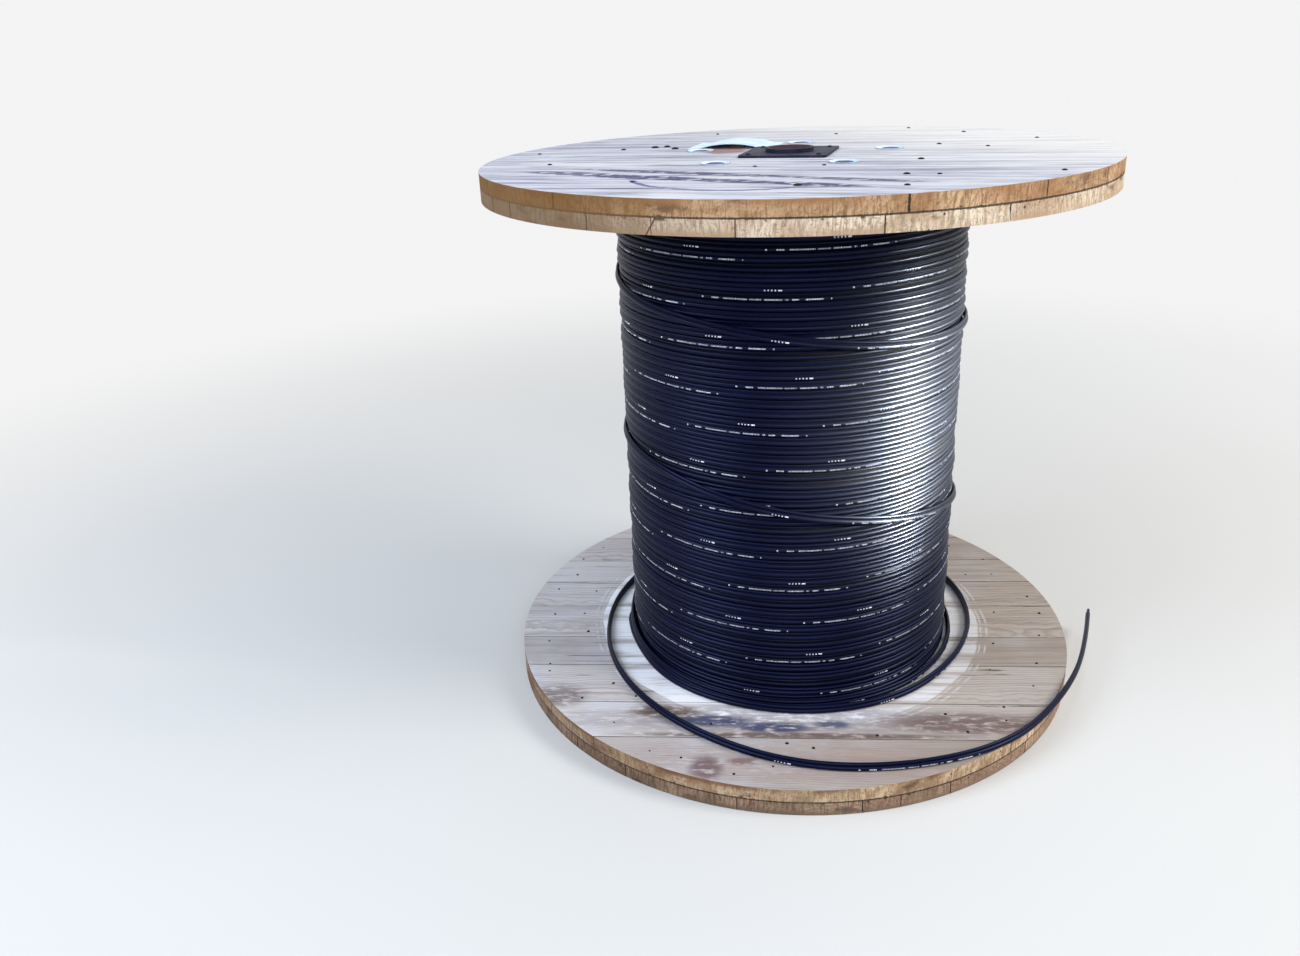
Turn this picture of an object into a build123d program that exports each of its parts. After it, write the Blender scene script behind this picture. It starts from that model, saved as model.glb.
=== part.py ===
import os
from math import cos, pi, radians, sin, tan

from build123d import *

os.makedirs("parts", exist_ok=True)

# Millimetres. The drum stands on its lower flange, its axis is Z, and the floor is at Z = 0.
# X runs along the boards that show on top of the lower flange.

# Flanges: two layers of boards each, crossed and nailed
flange_diameter = 1000.0
board_thickness = 22.5
board_gap = 1.0
top_flange_turn = -14.0

# Board joints: how far each lies from the middle, as a share of the flange's radius
top_outer_joints = [-0.89, -0.64, -0.38, -0.174, 0.054, 0.306, 0.53, 0.75]
top_inner_joints = [-0.742, -0.642, -0.346, -0.156, 0.06, 0.404, 0.684]
bottom_inner_joints = [-0.758, -0.572, -0.352, -0.168, 0.056, 0.248, 0.43, 0.64, 0.84]
bottom_outer_joints = [-0.714, -0.444, -0.288, -0.172, 0.198, 0.544, 0.716]

# Barrel: flat staves with bevelled edges, clamped between the flanges
barrel_length = 810.0
barrel_diameter = 450.0
stave_count = 12
stave_thickness = 28.0
stave_gap = 1.2

# Cable wound on the barrel, and its loose outer turn
cable_layers = 8
layer_depth = 8.125
turns_in_layer = 55
turn_joint_depth = 5.0
turn_rib_above_joint = 4.2
winding_clearance = 0.4
cable_width = 14.4
cable_thickness = 8.0
cable_crown_width = 4.4
cable_side_width = 8.8
loose_cable_lift = 0.3

# Tie bolts through the barrel, each with its head below, a nut on top and two dished washers
bolt_count = 5
bolt_diameter = 16.0
bolt_inside_barrel = 60.0
first_bolt_angle = 8.0
bolt_hole_clearance = 1.0
bolt_end_beyond_nut = 0.5
hexagon_across_flats = 24.0
head_height = 8.0
nut_height = 8.0
nut_thread_clearance = 0.1
washer_diameter = 45.0
washer_floor_diameter = 32.0
washer_sheet = 2.0
washer_depth = 9.0
washer_seat_clearance = 0.3
top_washer_lift = 2.0

# Spindle plates: a square plate with a tube through the flange
plate_side = 140.0
plate_thickness = 4.0
plate_corner_radius = 5.0
plate_pocket_clearance = 0.5
spindle_bore_diameter = 68.0
spindle_tube_wall = 5.0
spindle_hole_clearance = 0.5
collar_height = 6.0

# Hole for the inner cable end, and the arched sheet that is nailed over it
exit_hole_diameter = 40.0
exit_hole_along = -115.0
exit_hole_across = 100.0
cover_along = -118.0
cover_across = 122.5
cover_length = 150.0
cover_depth = 100.0
cover_foot = 18.0
cover_rise = 8.0
cover_sheet = 1.2

# Route of the loose cable: angle in degrees, how far it lies off the winding, and its droop
cable_route = [
    (-175.0, 0.7, 0.0),
    (-159.5, 7.1, 0.0),
    (-129.0, 25.8, 0.0),
    (-96.0, 28.4, 0.0),
    (-63.0, 35.1, 0.0),
    (-30.0, 35.4, 0.0),
    (3.0, 56.8, 0.0),
    (36.5, 68.8, 0.0),
    (70.0, 67.8, 0.0),
    (103.5, 60.3, 0.0),
    (137.0, 45.8, 0.0),
    (169.0, 40.8, 0.0),
    (196.0, 54.8, 0.0),
    (221.5, 81.3, 0.0),
    (246.0, 114.8, 0.0),
    (268.5, 157.3, 0.0),
    (289.5, 185.3, 0.0),
    (309.5, 213.8, 0.0),
    (328.5, 215.3, 0.5),
    (346.0, 233.3, 5.0),
    (361.5, 267.8, 12.5),
]

# Heights and radii that follow from the sizes above
flange_radius = flange_diameter / 2
flange_thickness = 2 * board_thickness
drum_height = barrel_length + 2 * flange_thickness
top_flange_base = flange_thickness + barrel_length
winding_radius = barrel_diameter / 2 + cable_layers * layer_depth
bolt_circle_radius = barrel_diameter / 2 - bolt_inside_barrel
tube_radius = spindle_bore_diameter / 2 + spindle_tube_wall
spindle_hole_radius = tube_radius + spindle_hole_clearance
bolt_hole_radius = (bolt_diameter + bolt_hole_clearance) / 2
washer_bottom = washer_depth + washer_sheet

bolt_angles = [first_bolt_angle + 360.0 * k / bolt_count for k in range(bolt_count)]
bolt_places = [
    (bolt_circle_radius * cos(radians(a)), bolt_circle_radius * sin(radians(a)))
    for a in bolt_angles
]


def save(shape, node):
    """Write one piece to its own file."""
    export_step(shape, "parts/" + node + ".step")


def board_spans(joints):
    """Give the two edges of each board, between the rim and the joints."""
    edges = [flange_radius * share for share in [-1.0] + joints + [1.0]]
    return [(low + board_gap / 2, high - board_gap / 2) for low, high in zip(edges, edges[1:])]


def round_hole(x, y, radius, base, height):
    """A plain round cutter that stands on base."""
    return Pos(x, y, base + height / 2) * Cylinder(radius, height)


def washer_seat(x, y, face, outward, lift):
    """The tapered recess that a cup washer sits in; lift is how far its rim stands proud."""
    narrow = washer_floor_diameter / 2 + washer_seat_clearance
    wide = washer_diameter / 2 + washer_seat_clearance
    outline = [(0, lift - washer_bottom), (narrow, lift - washer_bottom), (wide, lift), (0, lift)]
    cutter = revolve(Plane.XZ * make_face(Polyline(*outline, close=True)), Axis.Z)
    if outward < 0:
        cutter = mirror(cutter, Plane.XY)
    return Pos(x, y, face) * cutter


def flange_cutters(base, height):
    """Holes that go through a layer of boards: the spindle hole and the tie bolt holes."""
    cutters = [round_hole(0, 0, spindle_hole_radius, base, height)]
    for x, y in bolt_places:
        cutters.append(round_hole(x, y, bolt_hole_radius, base, height))
    return cutters


def board_layer(name, joints, base, turn, cutters):
    """Saw one layer of a flange: straight boards, cut together to a disc, then bored."""
    for number, (low, high) in enumerate(board_spans(joints), start=1):
        strip = Pos(0, (low + high) / 2) * Rectangle(2 * flange_diameter, high - low)
        board = Pos(0, 0, base) * extrude(Circle(flange_radius) & strip, board_thickness)
        board = Rot(0, 0, turn) * board
        for cutter in cutters:
            if cutter.bounding_box().overlaps(board.bounding_box()):
                board = board - cutter
        save(board, name + "_" + str(number))


def on_top_flange(along, across):
    """A place on the top flange, measured along and across its outer boards."""
    turn = radians(top_flange_turn)
    return (along * cos(turn) - across * sin(turn), along * sin(turn) + across * cos(turn))


# Top flange: the outer boards run along X, turned a little, and the inner ones cross them
exit_x, exit_y = on_top_flange(exit_hole_along, exit_hole_across)
exit_cutter = round_hole(exit_x, exit_y, exit_hole_diameter / 2, top_flange_base, flange_thickness)
top_cutters = flange_cutters(top_flange_base, flange_thickness) + [exit_cutter]
top_seats = [washer_seat(x, y, drum_height, 1, top_washer_lift) for x, y in bolt_places]
board_layer(
    "top_outer_board",
    top_outer_joints,
    drum_height - board_thickness,
    top_flange_turn,
    top_cutters + top_seats,
)
board_layer(
    "top_inner_board",
    top_inner_joints,
    top_flange_base,
    top_flange_turn - 90,
    top_cutters,
)

# Bottom flange: its plate and washers are let in flush, so that it stands on its boards
pocket_side = plate_side + 2 * plate_pocket_clearance
plate_pocket = Pos(0, 0, plate_thickness / 2) * Box(pocket_side, pocket_side, plate_thickness)
bottom_cutters = flange_cutters(0, flange_thickness)
bottom_seats = [washer_seat(x, y, 0, -1, 0) for x, y in bolt_places]
board_layer(
    "bottom_inner_board",
    bottom_inner_joints,
    board_thickness,
    0,
    bottom_cutters,
)
board_layer(
    "bottom_outer_board",
    bottom_outer_joints,
    0,
    90,
    bottom_cutters + bottom_seats + [plate_pocket],
)

# Barrel staves: flat boards, their edges bevelled to close into a ring
half_turn = pi / stave_count
stave_face = barrel_diameter / 2 * cos(half_turn)
stave_back = stave_face - stave_thickness
half_face = stave_face * tan(half_turn) - stave_gap / 2
half_back = stave_back * tan(half_turn) - stave_gap / 2
stave_outline = Polyline(
    (stave_face, -half_face),
    (stave_face, half_face),
    (stave_back, half_back),
    (stave_back, -half_back),
    close=True,
)
stave = Pos(0, 0, flange_thickness) * extrude(make_face(stave_outline), barrel_length)
for number in range(1, stave_count + 1):
    save(Rot(0, 0, 360.0 * (number - 0.5) / stave_count) * stave, "barrel_stave_" + str(number))

# Wound cable: one turned solid with its bore round the barrel. The turns of its outer layer lie
# side by side, and each stands out as a rib where the flat cable is thickest.
winding_bore = barrel_diameter / 2 + winding_clearance
turn_height = barrel_length / turns_in_layer
winding_outline = [(winding_bore, flange_thickness)]
for number in range(turns_in_layer):
    turn_base = flange_thickness + number * turn_height
    winding_outline.append((winding_radius - turn_joint_depth, turn_base))
    winding_outline.append((winding_radius, turn_base + turn_rib_above_joint))
winding_outline.append((winding_radius - turn_joint_depth, top_flange_base))
winding_outline.append((winding_bore, top_flange_base))
winding = revolve(Plane.XZ * make_face(Polyline(*winding_outline, close=True)), Axis.Z)
save(winding, "cable_winding")

# Tie bolts: a hexagon head sunk in the lower washer, and a shank up through the drum
head_face = washer_depth
upper_floor = drum_height + top_washer_lift - washer_depth
shank_top = upper_floor + nut_height + bolt_end_beyond_nut
hexagon = RegularPolygon(hexagon_across_flats / 2, 6, major_radius=False)
head = Pos(0, 0, head_face - head_height) * extrude(hexagon, head_height)
shank = round_hole(0, 0, bolt_diameter / 2, head_face, shank_top - head_face)
bolt = head + shank
for number, (x, y) in enumerate(bolt_places, start=1):
    save(Pos(x, y) * bolt, "tie_bolt_" + str(number))

# Nuts: plain hexagons that sit down in the upper washers
nut = extrude(hexagon - Circle(bolt_diameter / 2 + nut_thread_clearance), nut_height)
save(Compound(children=[Pos(x, y, upper_floor) * nut for x, y in bolt_places]), "tie_bolt_nuts")

# Cup washers: dished discs of sheet steel with a thin rim, sunk in the wood
washer_outline = Polyline(
    (bolt_hole_radius, -washer_bottom),
    (washer_floor_diameter / 2, -washer_bottom),
    (washer_diameter / 2, 0),
    (washer_floor_diameter / 2 - washer_sheet / 2, -washer_depth),
    (bolt_hole_radius, -washer_depth),
    close=True,
)
washer = revolve(Plane.XZ * make_face(washer_outline), Axis.Z)
washers = []
for x, y in bolt_places:
    washers.append(Pos(x, y, drum_height + top_washer_lift) * washer)
    washers.append(Pos(x, y, 0) * mirror(washer, Plane.XY))
save(Compound(children=washers), "cup_washers")


def spindle_plate(plate_base, tube_base, tube_height):
    """A square plate on the flange's outer face, with a tube through the flange."""
    sheet = extrude(RectangleRounded(plate_side, plate_side, plate_corner_radius), plate_thickness)
    body = Pos(0, 0, plate_base) * sheet + round_hole(0, 0, tube_radius, tube_base, tube_height)
    return body - round_hole(0, 0, spindle_bore_diameter / 2, tube_base, tube_height)


# Upper spindle plate: it lies on the boards, and its tube stands above it as a collar
upper_tube_height = flange_thickness + plate_thickness + collar_height
upper_plate = spindle_plate(drum_height, top_flange_base, upper_tube_height)
save(Rot(0, 0, top_flange_turn) * upper_plate, "spindle_plate_top")

# Lower spindle plate: let in flush with the boards
save(spindle_plate(0, 0, flange_thickness), "spindle_plate_bottom")

# Cover of the inner cable end: thin sheet steel, two flat feet and an arch between them
half_cover = cover_length / 2
half_arch = half_cover - cover_foot
cover_edge = [
    Line((-half_cover, 0), (-half_arch, 0)),
    ThreePointArc((-half_arch, 0), (0, cover_rise), (half_arch, 0)),
    Line((half_arch, 0), (half_cover, 0)),
    Line((half_cover, 0), (half_cover, cover_sheet)),
    Line((half_cover, cover_sheet), (half_arch, cover_sheet)),
    ThreePointArc((half_arch, cover_sheet), (0, cover_rise + cover_sheet), (-half_arch, cover_sheet)),
    Line((-half_arch, cover_sheet), (-half_cover, cover_sheet)),
    Line((-half_cover, cover_sheet), (-half_cover, 0)),
]
cover = extrude(Plane.XZ * make_face(Curve() + cover_edge), cover_depth / 2, both=True)
cover_x, cover_y = on_top_flange(cover_along, cover_across)
save(Pos(cover_x, cover_y, drum_height) * Rot(0, 0, top_flange_turn) * cover, "cable_end_cover")

# Loose outer turn of the cable, from where it leaves the winding to its cut end. The cable is
# flat and stands on its narrow edge, and its outline here has eight corners.
route = []
for angle, off_winding, droop in cable_route:
    reach = winding_radius + cable_width / 2 + off_winding
    height = flange_thickness + cable_width / 2 + loose_cable_lift - droop
    route.append(Vector(reach * cos(radians(angle)), reach * sin(radians(angle)), height))
bend_share = 0.45
radii = []
for before, here, after in zip(route, route[1:], route[2:]):
    shorter_run = min((here - before).length, (after - here).length)
    turn = radians((here - before).get_angle(after - here))
    radii.append(bend_share * shorter_run / tan(turn / 2))
print("cable bend radii", [round(r) for r in radii])
cable_path = FilletPolyline(*route, radius=radii)
quarter = [
    (cable_crown_width / 2, cable_width / 2),
    (cable_thickness / 2, cable_side_width / 2),
]
half = quarter + [(x, -y) for x, y in reversed(quarter)]
flat_outline = make_face(Polyline(*half, *[(-x, -y) for x, y in half], close=True))
along = cable_path % 0
cable_section = Plane(origin=route[0], x_dir=along.cross(Vector(0, 0, 1)), z_dir=along) * flat_outline
loose_cable = sweep(cable_section, path=cable_path)
expected_volume = flat_outline.area * cable_path.length
print("loose cable length", round(cable_path.length, 1))
print("loose cable volume over section times length", round(loose_cable.volume / expected_volume, 5))
save(loose_cable, "loose_cable_end")
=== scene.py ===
import random
from math import cos, radians, sin

import bpy
from mathutils import Matrix, Vector


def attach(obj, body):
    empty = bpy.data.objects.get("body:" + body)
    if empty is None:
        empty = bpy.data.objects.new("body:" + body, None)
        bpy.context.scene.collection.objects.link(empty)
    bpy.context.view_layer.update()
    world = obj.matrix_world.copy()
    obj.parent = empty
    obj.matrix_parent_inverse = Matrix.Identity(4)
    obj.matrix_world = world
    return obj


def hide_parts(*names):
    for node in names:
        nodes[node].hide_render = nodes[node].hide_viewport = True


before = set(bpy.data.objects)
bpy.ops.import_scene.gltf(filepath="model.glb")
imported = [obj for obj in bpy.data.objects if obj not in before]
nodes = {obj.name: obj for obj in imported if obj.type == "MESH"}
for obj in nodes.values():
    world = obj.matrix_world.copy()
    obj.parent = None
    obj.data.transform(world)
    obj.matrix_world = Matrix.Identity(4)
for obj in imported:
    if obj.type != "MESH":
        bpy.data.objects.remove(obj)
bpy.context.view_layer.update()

# Camera: in front of the drum, a little above the height of its top and looking down on it.
# Its turns are written as right, up and back vectors, because it leans slightly to one side.
camera_place = (-0.0968, -1.7437, 1.0818)
camera_heading = -0.085794
camera_dip = 0.36304
camera_lean = -0.043705
lens_length = 28.73
lens_shift = -0.0342
ahead = Vector((
    sin(camera_heading) * cos(camera_dip),
    cos(camera_heading) * cos(camera_dip),
    -sin(camera_dip),
))
level_right = Vector((cos(camera_heading), -sin(camera_heading), 0))
level_up = level_right.cross(ahead)
right = cos(camera_lean) * level_right + sin(camera_lean) * level_up
up = cos(camera_lean) * level_up - sin(camera_lean) * level_right
bpy.ops.object.camera_add()
camera = bpy.context.object
camera.name = "camera"
camera_turn = Matrix((right, up, -ahead)).transposed().to_4x4()
camera.matrix_world = Matrix.Translation(camera_place) @ camera_turn
camera.data.lens = lens_length
camera.data.shift_y = lens_shift
bpy.context.scene.camera = camera
bpy.context.scene.view_settings.view_transform = "Standard"

# Floor and light: a pale studio floor that fades into a white backdrop, a soft sky all round,
# and broad lamps, the strongest of them up on the right.
backdrop_white = (0.90, 0.90, 0.90, 1)
floor_level = -0.0005
fade_start = 0.75
fade_end = 3.2


def seen_or_mirrored(tree):
    """1 for what the camera, a mirror or glass sees, and 0 for the light that falls on the drum."""
    rays = tree.nodes.new("ShaderNodeLightPath")
    seen = rays.outputs["Is Camera Ray"]
    for kind in ("Is Glossy Ray", "Is Transmission Ray"):
        either = tree.nodes.new("ShaderNodeMath")
        either.operation = "MAXIMUM"
        tree.links.new(seen, either.inputs[0])
        tree.links.new(rays.outputs[kind], either.inputs[1])
        seen = either.outputs[0]
    return seen


bpy.ops.mesh.primitive_plane_add(size=60, location=(0, 0, floor_level))
floor = bpy.context.object
floor.name = "studio_floor"
floor_paint = bpy.data.materials.new("studio_floor")
floor_paint.use_nodes = True
floor_nodes, floor_links = floor_paint.node_tree.nodes, floor_paint.node_tree.links
floor_surface = floor_nodes["Principled BSDF"]
floor_surface.inputs["Base Color"].default_value = (0.62, 0.62, 0.615, 1)
floor_surface.inputs["Roughness"].default_value = 0.9
far_glow = floor_nodes.new("ShaderNodeEmission")
far_glow.inputs["Color"].default_value = backdrop_white
floor_place = floor_nodes.new("ShaderNodeTexCoord")
from_drum = floor_nodes.new("ShaderNodeVectorMath")
from_drum.operation = "LENGTH"
far_share = floor_nodes.new("ShaderNodeMapRange")
far_share.interpolation_type = "SMOOTHSTEP"
far_share.inputs["From Min"].default_value = fade_start
far_share.inputs["From Max"].default_value = fade_end
glow_share = floor_nodes.new("ShaderNodeMath")
glow_share.operation = "MULTIPLY"
floor_mix = floor_nodes.new("ShaderNodeMixShader")
floor_links.new(floor_place.outputs["Object"], from_drum.inputs[0])
floor_links.new(from_drum.outputs["Value"], far_share.inputs["Value"])
floor_links.new(far_share.outputs[0], glow_share.inputs[0])
floor_links.new(seen_or_mirrored(floor_paint.node_tree), glow_share.inputs[1])
floor_links.new(glow_share.outputs[0], floor_mix.inputs[0])
floor_links.new(floor_surface.outputs[0], floor_mix.inputs[1])
floor_links.new(far_glow.outputs[0], floor_mix.inputs[2])
floor_links.new(floor_mix.outputs[0], floor_nodes["Material Output"].inputs["Surface"])
floor.data.materials.append(floor_paint)

sky = bpy.data.worlds.new("studio_sky")
sky.use_nodes = True
bpy.context.scene.world = sky
sky_nodes, sky_links = sky.node_tree.nodes, sky.node_tree.links
sky_nodes.clear()
soft_light = sky_nodes.new("ShaderNodeBackground")
soft_light.inputs["Color"].default_value = (0.88, 0.94, 1.0, 1)
soft_light.inputs["Strength"].default_value = 0.47
backdrop = sky_nodes.new("ShaderNodeBackground")
backdrop.inputs["Color"].default_value = backdrop_white
backdrop.inputs["Strength"].default_value = 1.0
sky_mix = sky_nodes.new("ShaderNodeMixShader")
sky_out = sky_nodes.new("ShaderNodeOutputWorld")
sky_links.new(seen_or_mirrored(sky.node_tree), sky_mix.inputs[0])
sky_links.new(soft_light.outputs[0], sky_mix.inputs[1])
sky_links.new(backdrop.outputs[0], sky_mix.inputs[2])
sky_links.new(sky_mix.outputs[0], sky_out.inputs[0])


def hang_lamp(name, place, target, width, height, power, colour):
    """A soft rectangular lamp that faces a point on the drum."""
    bpy.ops.object.light_add(type="AREA", location=place)
    lamp = bpy.context.object
    lamp.name = name
    lamp.data.shape = "RECTANGLE"
    lamp.data.size = width
    lamp.data.size_y = height
    lamp.data.energy = power
    lamp.data.color = colour
    lamp.rotation_euler = (Vector(target) - Vector(place)).to_track_quat("-Z", "Y").to_euler()


hang_lamp("lamp_right", (4.0, -0.9, 3.3), (0, 0, 0.5), 2.0, 2.0, 190, (1.0, 0.96, 0.90))
hang_lamp("lamp_above", (1.5, 1.3, 2.7), (0.1, 0.1, 0.8), 1.6, 1.6, 17, (1.0, 0.99, 0.96))
hang_lamp("lamp_front", (0.2, -3.6, 1.9), (0, 0, 0.45), 2.0, 1.6, 46, (0.93, 0.96, 1.0))
hang_lamp("lamp_left", (-2.4, -1.3, 2.4), (0, 0, 0.1), 1.8, 1.8, 78, (0.78, 0.87, 1.0))

# A spot low on the right brings up the gloss at half height, where the winding is brightest. It
# adds nothing to the plain light, only its reflection in what is glossy.
spot_place = Vector((2.13, -0.60, 0.95))
spot_target = Vector((-0.027, -0.096, 0.47))
bpy.ops.object.light_add(type="SPOT", location=spot_place)
gloss_spot = bpy.context.object
gloss_spot.name = "gloss_spot"
gloss_spot.visible_diffuse = False
gloss_spot.data.color = (0.92, 0.90, 0.70)
gloss_spot.data.energy = 13200
gloss_spot.data.shadow_soft_size = 0.12
gloss_spot.data.spot_size = radians(13)
gloss_spot.data.spot_blend = 1.0
gloss_spot.rotation_euler = (spot_target - spot_place).to_track_quat("-Z", "Y").to_euler()

# Flange boards: sawn softwood, 22.5 mm thick, laid edge to edge in two crossed layers.
# They keep the frame's shapes. The weather has greyed the open faces, and the saw left end
# grain all round the rims, which are still ochre and have dark joints between the layers.
flange_radius = 0.5
board_thickness = 0.0225
gap_dark = (0.028, 0.018, 0.013)


class Finish:
    """One material under construction, with short ways to add its nodes."""

    def __init__(self, name):
        self.material = bpy.data.materials.new(name)
        self.material.use_nodes = True
        self.nodes = self.material.node_tree.nodes
        self.links = self.material.node_tree.links
        self.surface = self.nodes["Principled BSDF"]

    def feed(self, socket, value):
        """Plug a node's output into a socket, or write a plain value there."""
        if isinstance(value, bpy.types.NodeSocket):
            self.links.new(value, socket)
        else:
            socket.default_value = value

    def place(self):
        """Where a point is on the drum, in metres."""
        return self.nodes.new("ShaderNodeTexCoord").outputs["Object"]

    def turned(self, vector, angle=0.0, scale=(1, 1, 1), shift=(0, 0, 0)):
        """The same place seen along turned, stretched or shifted axes."""
        turn = self.nodes.new("ShaderNodeMapping")
        turn.inputs["Rotation"].default_value = (0, 0, -angle)
        self.feed(turn.inputs["Vector"], vector)
        stretch = self.nodes.new("ShaderNodeMapping")
        stretch.inputs["Scale"].default_value = scale
        stretch.inputs["Location"].default_value = shift
        self.links.new(turn.outputs[0], stretch.inputs["Vector"])
        return stretch.outputs[0]

    def split(self, vector):
        """The three parts of a vector."""
        parts = self.nodes.new("ShaderNodeSeparateXYZ")
        self.feed(parts.inputs[0], vector)
        return parts.outputs[0], parts.outputs[1], parts.outputs[2]

    def joined(self, x, y, z):
        """A vector from three parts."""
        parts = self.nodes.new("ShaderNodeCombineXYZ")
        self.feed(parts.inputs[0], x)
        self.feed(parts.inputs[1], y)
        self.feed(parts.inputs[2], z)
        return parts.outputs[0]

    def math(self, work, a, b=0.0, c=0.0):
        """One step of arithmetic."""
        step = self.nodes.new("ShaderNodeMath")
        step.operation = work
        self.feed(step.inputs[0], a)
        self.feed(step.inputs[1], b)
        self.feed(step.inputs[2], c)
        return step.outputs[0]

    def added(self, a, b):
        """The sum of two vectors."""
        step = self.nodes.new("ShaderNodeVectorMath")
        step.operation = "ADD"
        self.feed(step.inputs[0], a)
        self.feed(step.inputs[1], b)
        return step.outputs[0]

    def length(self, vector):
        """The length of a vector."""
        step = self.nodes.new("ShaderNodeVectorMath")
        step.operation = "LENGTH"
        self.feed(step.inputs[0], vector)
        return step.outputs["Value"]

    def noise(self, vector, scale=1.0, detail=3.0, roughness=0.5):
        """Cloudy noise between 0 and 1."""
        cloud = self.nodes.new("ShaderNodeTexNoise")
        cloud.inputs["Scale"].default_value = scale
        cloud.inputs["Detail"].default_value = detail
        cloud.inputs["Roughness"].default_value = roughness
        self.feed(cloud.inputs["Vector"], vector)
        return cloud.outputs["Fac"]

    def chance(self, value):
        """Three fixed random numbers for each whole value, as a vector."""
        dice = self.nodes.new("ShaderNodeTexWhiteNoise")
        dice.noise_dimensions = "1D"
        self.feed(dice.inputs["W"], value)
        return dice.outputs["Color"]

    def cells(self, vector, scale=1.0):
        """How far a point is from the middle of its cell, and a fixed random number for that cell."""
        cell = self.nodes.new("ShaderNodeTexVoronoi")
        cell.inputs["Scale"].default_value = scale
        self.feed(cell.inputs["Vector"], vector)
        return cell.outputs["Distance"], self.split(cell.outputs["Color"])[0]

    def ramp(self, value, stops):
        """Greys at places from 0 to 1, blended in between."""
        ramp = self.nodes.new("ShaderNodeValToRGB")
        elements = ramp.color_ramp.elements
        elements.remove(elements[1])
        for number, (place, grey) in enumerate(stops):
            element = elements.new(place) if number else elements[0]
            element.position = place
            element.color = (grey, grey, grey, 1)
        self.feed(ramp.inputs[0], value)
        return ramp.outputs[0]

    def between(self, value, low, high):
        """0 below low, 1 above high and a smooth rise between them."""
        step = self.nodes.new("ShaderNodeMapRange")
        step.interpolation_type = "SMOOTHSTEP"
        step.inputs["From Min"].default_value = low
        step.inputs["From Max"].default_value = high
        self.feed(step.inputs["Value"], value)
        return step.outputs[0]

    def partly(self, value, low, high, most):
        """The same rise, but only up to a given share."""
        return self.math("MULTIPLY", self.between(value, low, high), most)

    def fades(self, value, low, high):
        """1 below low, 0 above high and a smooth fall between them."""
        return self.math("SUBTRACT", 1.0, self.between(value, low, high))

    def mix(self, share, a, b, way="MIX"):
        """One colour laid over another."""
        step = self.nodes.new("ShaderNodeMix")
        step.data_type = "RGBA"
        step.blend_type = way
        self.feed(step.inputs[0], share)
        self.feed(step.inputs[6], a if isinstance(a, bpy.types.NodeSocket) else (*a, 1))
        self.feed(step.inputs[7], b if isinstance(b, bpy.types.NodeSocket) else (*b, 1))
        return step.outputs[2]

    def relief(self, height, depth, strength=1.0):
        """Fine relief from a height between 0 and 1; depth is in metres."""
        bump = self.nodes.new("ShaderNodeBump")
        bump.inputs["Strength"].default_value = strength
        bump.inputs["Distance"].default_value = depth
        self.feed(bump.inputs["Height"], height)
        self.links.new(bump.outputs[0], self.surface.inputs["Normal"])

    def paint(self, colour, roughness):
        """The base colour and roughness of the surface."""
        self.feed(self.surface.inputs["Base Color"], colour)
        self.feed(self.surface.inputs["Roughness"], roughness)


def wear(node, finish):
    """Give a piece of the frame its finish."""
    nodes[node].data.materials.clear()
    nodes[node].data.materials.append(finish.material)


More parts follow.
